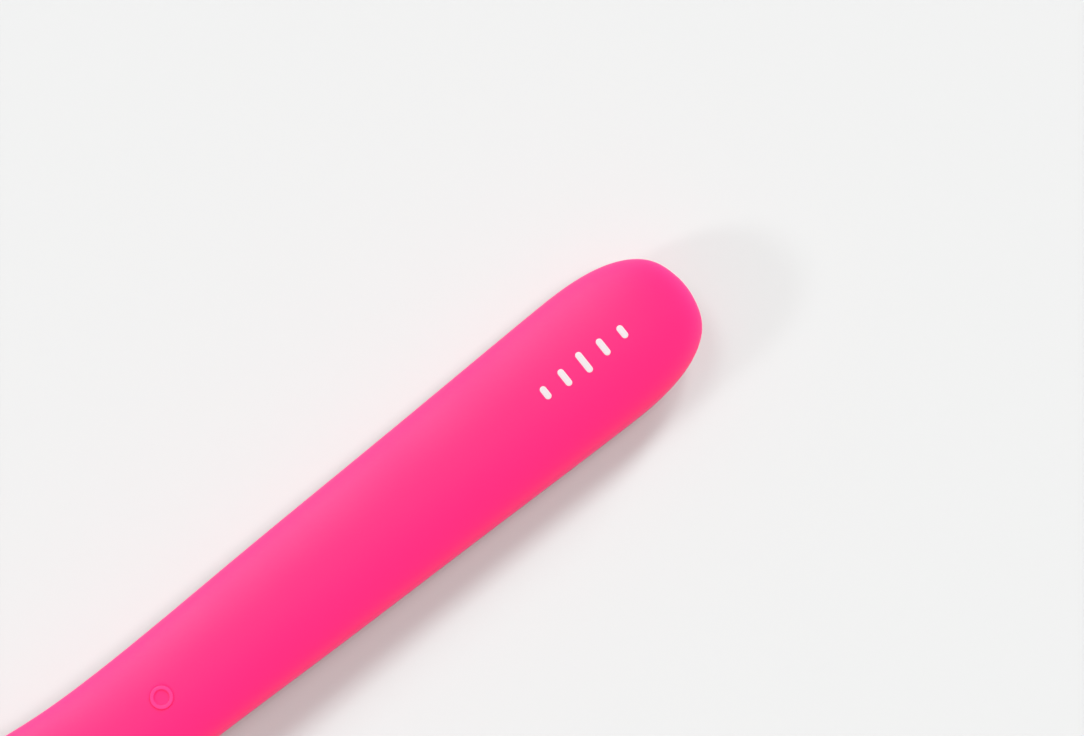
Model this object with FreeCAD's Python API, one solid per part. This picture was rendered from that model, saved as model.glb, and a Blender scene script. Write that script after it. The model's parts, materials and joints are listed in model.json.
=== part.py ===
import FreeCAD, Part
import math
import os

# Rechargeable ultrasonic skin scrubber, lying button up on a flat surface.
#
# A long handle in one seamless silicone skin, thickest at its rounded end, narrows to a waist and
# flares into a flat head. A curved steel blade leaves the head through a slotted collar. The skin
# is drawn over a two-part plastic chassis that holds the charging socket, battery, circuit board
# and the blade's piezo drive. The object lies on the belly of its handle and the blade's edge.
#
# Row frame, in millimetres: +X runs along the handle to its rounded end, +Y across it, +Z up.
# The origin is on the supporting surface, half way along the overall length.
# A station is a distance from the handle's rounded end towards the blade, measured along -X.

Vector = FreeCAD.Vector

# ---------------------------------------------------------------- driving dimensions
OVERALL_LENGTH = 198.0
BODY_LENGTH = 175.0  # rounded end to the mouth of the head
TIP_X = OVERALL_LENGTH / 2

# (station, value) points of the smooth curves that shape the body
HALF_WIDTH = ((0, 14.3), (25, 14.1), (60, 13.35), (100, 12.5), (132, 11.85), (146, 12.4),
              (158, 14.0), (168, 15.6), (175, 16.0))
HALF_HEIGHT = ((0, 8.8), (25, 8.7), (60, 8.3), (100, 7.6), (132, 7.05), (150, 6.6),
               (165, 5.6), (175, 4.8))
SPINE_HEIGHT = ((0, 8.535), (25, 8.835), (60, 10.2), (95, 12.6), (125, 14.4), (145, 14.6),
                (160, 13.2), (175, 10.6))
ROUND_LENGTH = 25.0  # stretch over which the end rounds off in plan
ROUND_POWER = 2.6
NOSE_LENGTH = 20.0  # the same from the side
NOSE_POWER = 2.3
HANDLE_SQUARENESS = 2.3  # superellipse exponent of the cross-section
HEAD_SQUARENESS = 3.2
HEAD_START = 130.0  # station where the section begins to square up
SKIN_POINTS = 28  # points round a section of the skin, and of the plainer chassis inside it
CHASSIS_POINTS = 20

SKIN = 1.4  # silicone thickness
FIT = 0.1  # gap between skin and chassis
WALL = 1.3  # chassis wall
CHASSIS_INSET = SKIN + FIT
CAVITY_INSET = CHASSIS_INSET + WALL
ROOT_INSET = CHASSIS_INSET + WALL / 2  # ribs and bosses are rooted this deep, inside the wall
CHASSIS_END = 168.0
SEAM_DROP = 0.25  # the chassis halves meet this far below the spine

# power button, in the deck frame: its centre on the skin's surface, +Z out of the button
BUTTON_STATION = 124.9
BUTTON_RADIUS = 2.25
BUTTON_GAP = 0.08
BUTTON_TRAVEL = 0.35
RING_INNER_RADIUS = 1.45
RING_HEIGHT = 0.35
FLANGE_RADIUS = 3.3
FLANGE_TOP = -1.75
FLANGE_THICKNESS = 0.45
STEM_RADIUS = 1.3
STEM_END = -4.2
RECESS_FLOOR = FLANGE_TOP - FLANGE_THICKNESS - BUTTON_TRAVEL - 0.1
LIGHT_X = 7.0  # status light, towards the handle's end
LIGHT_RADIUS = 0.9

# circuit board, in the deck frame
BOARD_TOP = -6.3
BOARD_THICKNESS = 1.0
BOARD_BOTTOM = BOARD_TOP - BOARD_THICKNESS
BOARD_HALF_WIDTH = 8.0
BOARD_STATIONS = (71.5, 135.0)
SUPPORT_STATIONS = (77.0, 131.0)
SUPPORT_Y = 6.3
SUPPORT_RADIUS = 1.3
SWITCH_SIDE = 4.6
SWITCH_HEIGHT = 1.6
SWITCH_FLOOR = 0.5
PLUNGER_RADIUS = 1.0
TRANSFORMER_STATION = 117.5
TRANSFORMER_SIZE = (9.5, 9.0, 3.7)
TRANSFORMER_WINDOW = 2.6  # shorter than half the core by this much
COIL_BUILD = 3.4
INDUCTOR_STATION = 103.5
INDUCTOR_SIZE = (6.2, 6.2, 3.0)
CONNECTOR_STATION = 78.5
CONNECTOR_SIZE = (4.0, 5.5, 3.0)
# station, y, size, pins on each side and their pitch
CHIPS = {
    "controller_chip": (94.0, 0.0, (6.5, 4.4, 1.1), 7, 0.85),
    "charger_chip": (86.5, 0.0, (4.9, 3.9, 1.5), 4, 1.27),
}
# (station, y, size) of plain parts on the board
BOARD_PARTS = {
    "drive_transistors": [(110.5, -1.6, (4.5, 2.5, 1.5)), (110.5, 1.6, (4.5, 2.5, 1.5))],
    "status_light": [(BUTTON_STATION - LIGHT_X, 0.0, (1.6, 0.8, 0.7))],
    "capacitors": [(103.0, -1.8, (3.2, 2.5, 1.6)), (103.0, 2.2, (3.2, 2.5, 1.6)),
                   (81.0, 0.0, (3.2, 1.6, 1.2))],
}
PASSIVE_SIZE = (1.6, 0.8, 0.5)
PASSIVE_ROWS = ((6.2, range(84, 116, 4)), (4.6, (107, 111, 115)))  # y on both sides, and stations

CELL_STATION = 43.5
CELL_SIZE = (42.0, 17.0, 5.5)
CELL_EDGE = 1.6
PROTECTION_SIZE = (1.0, 7.5, 3.4)
PAD_SIZE = (32.0, 13.0, 0.8)
CELL_RIB_X = 13.0

# charging socket, in the socket frame: where its axis leaves the skin under the rounded end,
# +X out along the bore
SOCKET_STATION = 1.0
SOCKET_TILT = 22.0  # degrees below the horizontal
SOCKET_RADIUS = 1.3
SOCKET_DEPTH = 9.0
SOCKET_FACE = -1.4  # sunk, so that all of it lies within the slanting skin
SOCKET_NOSE_RADIUS = 2.6
SOCKET_BLOCK = (-14.2, -6.5)
SOCKET_BLOCK_HALF = (3.5, 2.8)
SOCKET_BACK = 0.8
SLEEVE_WALL = 0.35
SPRING_HALF = (0.6, 1.1)
SPRING_LENGTH = 2.4
SPRING_STRIP = 0.3
BULKHEAD_STATION = 10.0

# (station, y) of the screws that close the chassis
CASE_SCREWS = ((18.5, 0.0), (68.0, 6.5), (68.0, -6.5), (140.0, 6.2), (140.0, -6.2))
BOSS_RADIUS = 2.4
SHANK_RADIUS = 0.9
HEAD_RADIUS = 1.7
HEAD_HEIGHT = 1.1
RIB = 1.4

# blade and its drive, in the root frame: at the mouth's centre, +X into the head along the blade
BLADE_THICKNESS = 0.8
BLADE_ROOT_ANGLE = 8.0  # degrees below the horizontal
BLADE_EDGE_ANGLE = 42.0
BLADE_HALF = 12.9
BLADE_ROOT_HALF = 10.0
BLADE_ROOT_START = 5.6
BLADE_TONGUE_HALF = 5.0
BLADE_TONGUE_START = 25.6
BLADE_ROOT_END = 31.0
BLADE_CORNER = 5.0
BEVEL_LENGTH = 2.0
EDGE_THICKNESS = 0.25
PIEZO_SIZE = (12.0, 15.0, 1.2)
PIEZO_X = 16.0
ELECTRODE = 0.08
ISOLATORS = {"front_isolator": (7.4, 9.6), "rear_isolator": (22.6, 25.0)}
ISOLATOR_HALF = (10.6, 1.6)
ANCHOR_X = 28.6
ANCHOR_HOLE_RADIUS = 1.6
GROMMET_RADIUS = 2.2
GROMMET_HALF = 1.3
ANCHOR_SHANK_RADIUS = 0.8
ANCHOR_DEPTH = 3.4
LEAD_Y = 3.2
LEAD_Z = 2.15
SEAL_HALF = (13.9, 1.5)
SEAL_X = (-0.8, 3.2)
COLLAR_FLANGE = 1.0
COLLAR_FLANGE_INSET = 0.3

LEAD_RADIUS = 0.45
BATTERY_LEAD_Y = 1.2
CHARGE_LEAD_Y = 3.4


# ---------------------------------------------------------------- the body's shape
def smooth_curve(points):
    """A natural cubic spline through points. The function returned gives (value, slope)."""
    x = [p[0] for p in points]
    y = [p[1] for p in points]
    last = len(x) - 1
    h = [x[i + 1] - x[i] for i in range(last)]
    rise = [(y[i + 1] - y[i]) / h[i] for i in range(last)]
    diagonal = [1.0] * (last + 1)
    right = [0.0] * (last + 1)
    for i in range(1, last):
        diagonal[i] = 2 * (h[i - 1] + h[i])
        right[i] = 6 * (rise[i] - rise[i - 1])
    for i in range(2, last):
        factor = h[i - 1] / diagonal[i - 1]
        diagonal[i] -= factor * h[i - 1]
        right[i] -= factor * right[i - 1]
    bend = [0.0] * (last + 1)
    for i in range(last - 1, 0, -1):
        bend[i] = (right[i] - h[i] * bend[i + 1]) / diagonal[i]

    def curve(at):
        i = 0
        while i < last - 1 and at > x[i + 1]:
            i += 1
        a = (x[i + 1] - at) / h[i]
        b = 1 - a
        bow = (a**3 - a) * bend[i] + (b**3 - b) * bend[i + 1]
        lean = (1 - 3 * a * a) * bend[i] + (3 * b * b - 1) * bend[i + 1]
        return a * y[i] + b * y[i + 1] + bow * h[i] ** 2 / 6, rise[i] + lean * h[i] / 6

    return curve


half_width_curve = smooth_curve(HALF_WIDTH)
half_height_curve = smooth_curve(HALF_HEIGHT)
spine_curve = smooth_curve(SPINE_HEIGHT)


def rounding(station, inset, length, power):
    """1 along the handle, falling to 0 at the rounded end in a superellipse."""
    if station >= length:
        return 1.0
    return max(0.0, 1 - ((length - station) / (length - inset)) ** power) ** (1 / power)


def squareness(station):
    t = min(max((station - HEAD_START) / (BODY_LENGTH - HEAD_START), 0.0), 1.0)
    return HANDLE_SQUARENESS + (HEAD_SQUARENESS - HANDLE_SQUARENESS) * t * t * (3 - 2 * t)


def half_sizes(station, inset):
    """The section's half width and half height at a station, inset from the outer surface."""
    width = half_width_curve(station)[0] - inset
    height = half_height_curve(station)[0] - inset
    return (width * rounding(station, inset, ROUND_LENGTH, ROUND_POWER),
            height * rounding(station, inset, NOSE_LENGTH, NOSE_POWER))


def spine_point(station, y=0.0, above=0.0):
    return Vector(TIP_X - station, y, spine_curve(station)[0] + above)


def spine_tilt(station):
    """Turn about +Y, in degrees, that squares a frame to the spine."""
    return math.degrees(math.atan(spine_curve(station)[1]))


def section_wire(station, inset):
    """The closed superellipse around the spine at a station, inset from the outer surface."""
    count = SKIN_POINTS if inset <= SKIN else CHASSIS_POINTS
    width, height = half_sizes(station, inset)
    power = 2 / squareness(station)
    tilt = math.radians(spine_tilt(station))
    up = Vector(math.sin(tilt), 0, math.cos(tilt))
    points = []
    for k in range(count):
        angle = 2 * math.pi * k / count
        y = width * math.copysign(abs(math.cos(angle)) ** power, math.cos(angle))
        z = height * math.copysign(abs(math.sin(angle)) ** power, math.sin(angle))
        points.append(spine_point(station, y) + up * z)
    outline = Part.BSplineCurve()
    outline.interpolate(Points=points, PeriodicFlag=True)
    return Part.Wire([outline.toShape()])


def body_solid(inset, end):
    """The closed body from its rounded end to a station, inset from the outer surface."""
    if inset <= SKIN:
        angles = (8, 16, 25, 35, 46, 58, 70, 80)
        along = [25, 35, 48, 62, 78, 94, 110, 124, 134, 142, 150, 157, 164, end]
    else:
        angles = (8, 16, 28, 42, 58, 74)
        along = [25, 40, 62, 86, 110, 126, 138, 148, 157, end]
    dome = [inset + (ROUND_LENGTH - inset) * (1 - math.cos(math.radians(a))) for a in angles]
    pole = Part.Vertex(spine_point(inset))
    return Part.makeLoft([pole] + [section_wire(s, inset) for s in dome + along], True, False)


def body_slab(inset, start, end):
    """The stretch of the body between two stations, inset from the outer surface."""
    stations = [start + (end - start) * k / 3 for k in range(4)]
    return Part.makeLoft([section_wire(s, inset) for s in stations], True, False)


def surface_height(station, y, inset, side):
    """Height of the body's upper (side 1) or lower (side -1) surface over a station and y."""
    width, height = half_sizes(station, inset)
    power = squareness(station)
    rise = height * max(0.0, 1 - abs(y / width) ** power) ** (1 / power)
    return spine_curve(station)[0] + side * rise


# ---------------------------------------------------------------- frames
def tilted_frame(origin, degrees):
    return FreeCAD.Placement(origin, FreeCAD.Rotation(Vector(0, 1, 0), degrees))


def button_slope():
    slope = spine_curve(BUTTON_STATION)[1] + half_height_curve(BUTTON_STATION)[1]
    return math.degrees(math.atan(slope))


ROOTS = body_solid(ROOT_INSET, CHASSIS_END - 0.4)
MOUTH = spine_point(BODY_LENGTH)
DECK = tilted_frame(spine_point(BUTTON_STATION, 0, half_sizes(BUTTON_STATION, 0)[1]), button_slope())
CELL = tilted_frame(spine_point(CELL_STATION), spine_tilt(CELL_STATION))
SOCKET = tilted_frame(spine_point(SOCKET_STATION, 0, -half_sizes(SOCKET_STATION, 0)[1]), SOCKET_TILT)
ROOT = tilted_frame(MOUTH, -BLADE_ROOT_ANGLE)


def placed(shape, frame):
    moved = shape.copy()
    moved.Placement = frame.multiply(shape.Placement)
    return moved


def board_x(station):
    return BUTTON_STATION - station


def deck_point(station, y, z):
    return DECK.multVec(Vector(board_x(station), y, z))


# ---------------------------------------------------------------- basic shapes
def block(x, y, z):
    """A box from (low, high) pairs."""
    return Part.makeBox(x[1] - x[0], y[1] - y[0], z[1] - z[0], Vector(x[0], y[0], z[0]))


def box_on(x, y, z, size):
    """A box centred over a point of the plane at z and standing on it."""
    length, width, height = size
    return Part.makeBox(length, width, height, Vector(x - length / 2, y - width / 2, z))


def box_under(x, y, z, size):
    return box_on(x, y, z - size[2], size)


def post(x, y, low, high, radius):
    return Part.makeCylinder(radius, high - low, Vector(x, y, low))


def rod(x_low, x_high, radius, y=0, z=0):
    """A cylinder along +X."""
    return Part.makeCylinder(radius, x_high - x_low, Vector(x_low, y, z), Vector(1, 0, 0))


def rounded_path(corners):
    """Straight runs joined by tangent arcs, from (point, radius) corners. The ends stay sharp."""
    edges = []
    start = corners[0][0]
    for (before, _), (here, radius), (after, _) in zip(corners, corners[1:], corners[2:]):
        into = (here - before).normalize()
        out = (after - here).normalize()
        half_turn = into.getAngle(out) / 2
        reach = radius * math.tan(half_turn)
        if reach < 1e-4:
            continue
        arc_start = here - into * reach
        arc_end = here + out * reach
        middle = here + (out - into).normalize() * radius * (1 / math.cos(half_turn) - 1)
        if (arc_start - start).Length > 1e-4:
            edges.append(Part.LineSegment(start, arc_start).toShape())
        edges.append(Part.Arc(arc_start, middle, arc_end).toShape())
        start = arc_end
    if (corners[-1][0] - start).Length > 1e-4:
        edges.append(Part.LineSegment(start, corners[-1][0]).toShape())
    return edges


def rounded_face(corners):
    """A flat face from the (point, radius) corners of its outline."""
    middle = ((corners[-1][0] + corners[0][0]) / 2, 0)
    return Part.Face(Part.Wire(rounded_path([middle] + corners + [middle])))


def mirrored_face(corners):
    """A flat face at z 0 from the (x, y, radius) corners of its half on the +Y side."""
    near = [(Vector(x, y, 0), radius) for x, y, radius in corners]
    far = [(Vector(x, -y, 0), radius) for x, y, radius in reversed(corners)]
    return rounded_face(near + far)


def lead(points, bend=1.5):
    """A round insulated wire along straight runs joined by tangent arcs."""
    path = Part.Wire(rounded_path([(point, bend) for point in points]))
    circle = Part.Wire([Part.makeCircle(LEAD_RADIUS, points[0], points[1] - points[0])])
    return path.makePipeShell([circle], True, False)


# ---------------------------------------------------------------- outer parts
def silicone_skin():
    skin = body_solid(0.0, BODY_LENGTH).cut(body_solid(SKIN, BODY_LENGTH + 3))
    skin = skin.cut(placed(post(0, 0, -3.2, 2.0, BUTTON_RADIUS + BUTTON_GAP), DECK))
    return skin.cut(placed(rod(-4, 5, SOCKET_NOSE_RADIUS), SOCKET))


def power_button():
    """Silicone push pad: a raised ring round a level centre, a hidden flange and a stem."""
    pad = post(0, 0, FLANGE_TOP - 0.1, RING_HEIGHT, BUTTON_RADIUS)
    pad = pad.cut(post(0, 0, 0.03, RING_HEIGHT + 1, RING_INNER_RADIUS))
    rims = [e for e in pad.Edges if e.BoundBox.ZMin > RING_HEIGHT - 0.01]
    pad = pad.makeFillet(0.16, rims)
    flange_bottom = FLANGE_TOP - FLANGE_THICKNESS
    flange = post(0, 0, flange_bottom, FLANGE_TOP, FLANGE_RADIUS)
    stem = post(0, 0, STEM_END, flange_bottom, STEM_RADIUS)
    return placed(pad.fuse([flange, stem]).removeSplitter(), DECK)


def seal_bar(x):
    """The rounded bar that fills the collar's slot, over a stretch of the root frame's x."""
    half_y, half_z = SEAL_HALF
    corners = [(Vector(x[0], half_y * sy, half_z * sz), 1.2)
               for sy, sz in ((1, 1), (-1, 1), (-1, -1), (1, -1))]
    return placed(rounded_face(corners).extrude(Vector(x[1] - x[0], 0, 0)), ROOT)


def head_collar():
    """Plastic collar that closes the mouth: a spigot inside the skin and a flange outside it."""
    start = CHASSIS_END + 0.2
    spigot = body_slab(CHASSIS_INSET, start, BODY_LENGTH)
    hollow = body_slab(CAVITY_INSET, start - 0.5, BODY_LENGTH - 3)
    tilt = math.radians(spine_tilt(BODY_LENGTH))
    outward = Vector(-math.cos(tilt), 0, math.sin(tilt)) * COLLAR_FLANGE
    flange = Part.Face(section_wire(BODY_LENGTH, COLLAR_FLANGE_INSET)).extrude(outward)
    return spigot.cut(hollow).fuse(flange).cut(seal_bar((-5, 8)))


def blade_seal(blade):
    return seal_bar(SEAL_X).cut(blade)


# ---------------------------------------------------------------- chassis
def under_seam():
    """Everything under the surface, just below the spine, where the chassis halves meet."""
    reach = 30.0
    points = [Vector(TIP_X - s, -reach, spine_curve(s)[0] - SEAM_DROP) for s in range(-5, 186, 10)]
    seam = Part.BSplineCurve()
    seam.interpolate(points)
    far = Vector(points[-1].x, -reach, -reach)
    near = Vector(points[0].x, -reach, -reach)
    edges = [seam.toShape()]
    for start, end in ((points[-1], far), (far, near), (near, points[0])):
        edges.append(Part.LineSegment(start, end).toShape())
    return Part.Face(Part.Wire(edges)).extrude(Vector(0, 2 * reach, 0))


def isolator_bar(x):
    half_y, half_z = ISOLATOR_HALF
    return placed(block(x, (-half_y, half_y), (-half_z, half_z)), ROOT)


def socket_block(clearance=0.0):
    """The square back of the socket, in the socket frame."""
    low, high = SOCKET_BLOCK
    half_y, half_z = [half + clearance for half in SOCKET_BLOCK_HALF]
    return block((low - clearance, high + clearance), (-half_y, half_y), (-half_z, half_z))


def rooted(shapes):
    """The parts of ribs and bosses that lie inside the chassis, each rooted in its wall."""
    return Part.makeCompound(shapes).common(ROOTS).Solids


def chassis_wall():
    """Both halves in one: shell, screw bosses, socket bulkhead and the isolators' cradles."""
    wall = body_solid(CHASSIS_INSET, CHASSIS_END).cut(body_solid(CAVITY_INSET, CHASSIS_END + 3))
    inner = [post(TIP_X - station, y, 0, 30, BOSS_RADIUS) for station, y in CASE_SCREWS]
    bulkhead_x = TIP_X - BULKHEAD_STATION
    inner.append(block((bulkhead_x - RIB / 2, bulkhead_x + RIB / 2), (-20, 20), (0, 20)))
    for low, high in ISOLATORS.values():
        inner.append(placed(block((low + 0.4, high - 0.4), (-20, 20), (-12, 12)), ROOT))
    spaces = [isolator_bar(x) for x in ISOLATORS.values()]
    spaces.append(placed(socket_block(0.05), SOCKET))
    spaces.append(placed(rod(SOCKET_BLOCK[1] - 1, 5, SOCKET_NOSE_RADIUS), SOCKET))
    rear = ISOLATORS["rear_isolator"]
    for z in (-LEAD_Z, LEAD_Z):
        spaces.append(placed(rod(rear[0] - 1, rear[1] + 1, LEAD_RADIUS + 0.25, LEAD_Y, z), ROOT))
    return wall.fuse(rooted(inner)).cut(spaces)


def screw_heights(station, y):
    """Heights of a case screw's head face, shoulder and tip."""
    low = surface_height(station, abs(y) + HEAD_RADIUS, CHASSIS_INSET, -1) + 0.1
    top = min(spine_curve(station)[0] + 4.5, surface_height(station, y, CAVITY_INSET, 1) - 0.8)
    return low, low + HEAD_HEIGHT, top


def support_places():
    return [(board_x(station), y) for station in SUPPORT_STATIONS for y in (-SUPPORT_Y, SUPPORT_Y)]


def lower_chassis(wall, seam):
    inner = [placed(post(x, y, -25, BOARD_BOTTOM, SUPPORT_RADIUS), DECK) for x, y in support_places()]
    pad_bottom = -CELL_SIZE[2] / 2 - PAD_SIZE[2]
    for x in (-CELL_RIB_X, CELL_RIB_X):
        inner.append(placed(block((x - RIB / 2, x + RIB / 2), (-20, 20), (-20, pad_bottom)), CELL))
    inner.append(placed(post(ANCHOR_X, 0, -20, -GROMMET_HALF, GROMMET_RADIUS), ROOT))
    holes = [placed(post(ANCHOR_X, 0, -ANCHOR_DEPTH - 0.2, 0, ANCHOR_SHANK_RADIUS), ROOT)]
    for station, y in CASE_SCREWS:
        low, shoulder, top = screw_heights(station, y)
        holes.append(post(TIP_X - station, y, low - 4, shoulder, HEAD_RADIUS + 0.15))
        holes.append(post(TIP_X - station, y, low, top, SHANK_RADIUS + 0.15))
    return wall.common(seam).fuse(rooted(inner)).cut(holes)


def upper_chassis(wall, seam):
    inner = [placed(post(x, y, BOARD_TOP, 5, SUPPORT_RADIUS), DECK) for x, y in support_places()]
    inner.append(placed(post(0, 0, RECESS_FLOOR - 0.95, 2, FLANGE_RADIUS + 1.6), DECK))
    recess = post(0, 0, RECESS_FLOOR, 2, FLANGE_RADIUS + 0.4)
    stem_hole = post(0, 0, RECESS_FLOOR - 2, 0, STEM_RADIUS + 0.1)
    light_hole = post(LIGHT_X, 0, -4.5, 2, LIGHT_RADIUS)
    holes = [placed(hole, DECK) for hole in (recess, stem_hole, light_hole)]
    for station, y in CASE_SCREWS:
        holes.append(post(TIP_X - station, y, 0, screw_heights(station, y)[2] + 0.2, SHANK_RADIUS + 0.02))
    return wall.cut(seam).fuse(rooted(inner)).cut(holes)


def pan_screw(x, y, low, shoulder, top, radius):
    """A pan-head screw, head down, with a cross recess in its head."""
    head = post(x, y, low, shoulder, HEAD_RADIUS)
    for size in ((1.8, 0.4, 0.5), (0.4, 1.8, 0.5)):
        head = head.cut(box_on(x, y, low, size))
    return head.fuse(post(x, y, shoulder, top, radius))


def case_screws():
    solids = []
    for station, y in CASE_SCREWS:
        solids.append(pan_screw(TIP_X - station, y, *screw_heights(station, y), SHANK_RADIUS))
    return Part.makeCompound(solids)


# ---------------------------------------------------------------- blade and its drive
def direction(degrees):
    """Unit vector along the blade towards its edge, at an angle below the horizontal."""
    angle = math.radians(degrees)
    return Vector(-math.cos(angle), 0, -math.sin(angle))


def normal(degrees):
    """Unit vector out of the blade's upper face, at the same angle."""
    angle = math.radians(degrees)
    return Vector(-math.sin(angle), 0, math.cos(angle))


def blade_bend():
    """Length of the flat stretch outside the mouth and radius of the bend that follows it.

    They put the edge's lower corner at z 0 and its upper corner at the end of the object.
    """
    half = BLADE_THICKNESS / 2
    along, up = direction(BLADE_ROOT_ANGLE), normal(BLADE_ROOT_ANGLE)
    edge_up = normal(BLADE_EDGE_ANGLE)
    a, b = along.z, edge_up.z - up.z
    c, d = along.x, edge_up.x - up.x
    down = half * edge_up.z - MOUTH.z
    out = -OVERALL_LENGTH / 2 - MOUTH.x + (half - EDGE_THICKNESS) * edge_up.x
    determinant = a * d - b * c
    return (down * d - b * out) / determinant, (a * out - down * c) / determinant


def blade_side():
    """The blade from the side: a flat root, then one bend down to an edge bevelled from above."""
    half = BLADE_THICKNESS / 2
    flat, radius = blade_bend()
    up = normal(BLADE_ROOT_ANGLE)
    root = MOUTH - direction(BLADE_ROOT_ANGLE) * BLADE_ROOT_END
    start = MOUTH + direction(BLADE_ROOT_ANGLE) * flat
    centre = start - up * radius
    bevel_angle = BLADE_EDGE_ANGLE - math.degrees(BEVEL_LENGTH / radius)
    upper_middle = normal((BLADE_ROOT_ANGLE + bevel_angle) / 2)
    lower_middle = normal((BLADE_ROOT_ANGLE + BLADE_EDGE_ANGLE) / 2)
    bevel = centre + normal(bevel_angle) * (radius + half)
    lower_edge = centre + normal(BLADE_EDGE_ANGLE) * (radius - half)
    upper_edge = lower_edge + normal(BLADE_EDGE_ANGLE) * EDGE_THICKNESS
    edges = [Part.LineSegment(root + up * half, start + up * half).toShape()]
    upper_arc = Part.Arc(start + up * half, centre + upper_middle * (radius + half), bevel)
    edges.append(upper_arc.toShape())
    edges.append(Part.LineSegment(bevel, upper_edge).toShape())
    edges.append(Part.LineSegment(upper_edge, lower_edge).toShape())
    lower_arc = Part.Arc(lower_edge, centre + lower_middle * (radius - half), start - up * half)
    edges.append(lower_arc.toShape())
    edges.append(Part.LineSegment(start - up * half, root - up * half).toShape())
    edges.append(Part.LineSegment(root - up * half, root + up * half).toShape())
    return Part.Face(Part.Wire(edges))


def steel_blade():
    side = blade_side()
    side.translate(Vector(0, -20, 0))
    front = -OVERALL_LENGTH / 2 - 0.02
    plan = mirrored_face([
        (front, BLADE_HALF, BLADE_CORNER),
        (MOUTH.x + SEAL_X[1], BLADE_HALF, 2.0),
        (MOUTH.x + BLADE_ROOT_START, BLADE_ROOT_HALF, 2.0),
        (MOUTH.x + BLADE_TONGUE_START, BLADE_ROOT_HALF, 1.5),
        (MOUTH.x + BLADE_TONGUE_START, BLADE_TONGUE_HALF, 1.0),
        (MOUTH.x + BLADE_ROOT_END + 1, BLADE_TONGUE_HALF, 2.5),
    ])
    blade = side.extrude(Vector(0, 40, 0)).common(plan.extrude(Vector(0, 0, 30)))
    return blade.cut(placed(post(ANCHOR_X, 0, -2, 2, ANCHOR_HOLE_RADIUS), ROOT))


def piezo_plates():
    """Two ceramic plates bonded above and below the blade."""
    half = BLADE_THICKNESS / 2
    plates = [box_on(PIEZO_X, 0, half, PIEZO_SIZE), box_under(PIEZO_X, 0, -half, PIEZO_SIZE)]
    return placed(Part.makeCompound(plates), ROOT)


def piezo_electrodes():
    """Silvered layers on the outer faces of the piezo plates."""
    face = BLADE_THICKNESS / 2 + PIEZO_SIZE[2]
    size = (PIEZO_SIZE[0] - 1.2, PIEZO_SIZE[1] - 1.2, ELECTRODE)
    layers = [box_on(PIEZO_X, 0, face, size), box_under(PIEZO_X, 0, -face, size)]
    return placed(Part.makeCompound(layers), ROOT)


def anchor_grommet():
    """Rubber grommet in the blade's hole, so that only rubber touches the vibrating steel."""
    half = BLADE_THICKNESS / 2
    ring = post(ANCHOR_X, 0, -GROMMET_HALF, GROMMET_HALF, GROMMET_RADIUS)
    groove = post(ANCHOR_X, 0, -half, half, GROMMET_RADIUS + 1)
    groove = groove.cut(post(ANCHOR_X, 0, -half, half, ANCHOR_HOLE_RADIUS))
    hole = post(ANCHOR_X, 0, -GROMMET_HALF, GROMMET_HALF, ANCHOR_SHANK_RADIUS + 0.05)
    return placed(ring.cut([groove, hole]), ROOT)


def anchor_screw():
    screw = pan_screw(0, 0, 0, HEAD_HEIGHT, HEAD_HEIGHT + GROMMET_HALF + ANCHOR_DEPTH, ANCHOR_SHANK_RADIUS)
    screw.rotate(Vector(0, 0, 0), Vector(1, 0, 0), 180)
    screw.translate(Vector(ANCHOR_X, 0, GROMMET_HALF + HEAD_HEIGHT))
    return placed(screw, ROOT)


def piezo_lead(side):
    """A lead from the board over (side 1) or under (side -1) the blade to a piezo plate."""
    face = BLADE_THICKNESS / 2 + PIEZO_SIZE[2] + ELECTRODE + LEAD_RADIUS + 0.02
    board = BOARD_TOP + LEAD_RADIUS + 0.02 if side > 0 else BOARD_BOTTOM - LEAD_RADIUS - 0.02
    points = [deck_point(BOARD_STATIONS[1] - 4, LEAD_Y, board)]
    points.append(deck_point(BOARD_STATIONS[1] + 3, LEAD_Y, board))
    points.append(ROOT.multVec(Vector(ISOLATORS["rear_isolator"][1] + 2, LEAD_Y, side * LEAD_Z)))
    points.append(ROOT.multVec(Vector(PIEZO_X + 5.0, LEAD_Y, side * face)))
    points.append(ROOT.multVec(Vector(PIEZO_X + 3.0, LEAD_Y, side * face)))
    return lead(points, 1.0)


# ---------------------------------------------------------------- battery
def battery_cell():
    length, width, height = CELL_SIZE
    cell = box_on(0, 0, -height / 2, CELL_SIZE)
    long_edges = [e for e in cell.Edges if e.BoundBox.XLength > length - 1]
    return placed(cell.makeFillet(CELL_EDGE, long_edges), CELL)


def battery_protection_board():
    size = PROTECTION_SIZE
    return placed(box_on(-CELL_SIZE[0] / 2 - size[0] / 2, 0, -size[2] / 2, size), CELL)


def battery_pad():
    return placed(box_under(0, 0, -CELL_SIZE[2] / 2, PAD_SIZE), CELL)


def battery_connector():
    return placed(box_under(board_x(CONNECTOR_STATION), 0, BOARD_BOTTOM, CONNECTOR_SIZE), DECK)


def battery_lead(side):
    """A lead from the cell's protection board to the connector under the main board."""
    y = side * BATTERY_LEAD_Y
    z = BOARD_BOTTOM - CONNECTOR_SIZE[2] / 2
    face = CONNECTOR_STATION - CONNECTOR_SIZE[0] / 2
    start = -CELL_SIZE[0] / 2 - PROTECTION_SIZE[0]
    points = [CELL.multVec(Vector(start, y, 0)), CELL.multVec(Vector(start - 2.5, y, 0))]
    points.append(deck_point(face - 2.5, y, z))
    points.append(deck_point(face, y, z))
    return lead(points)


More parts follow.
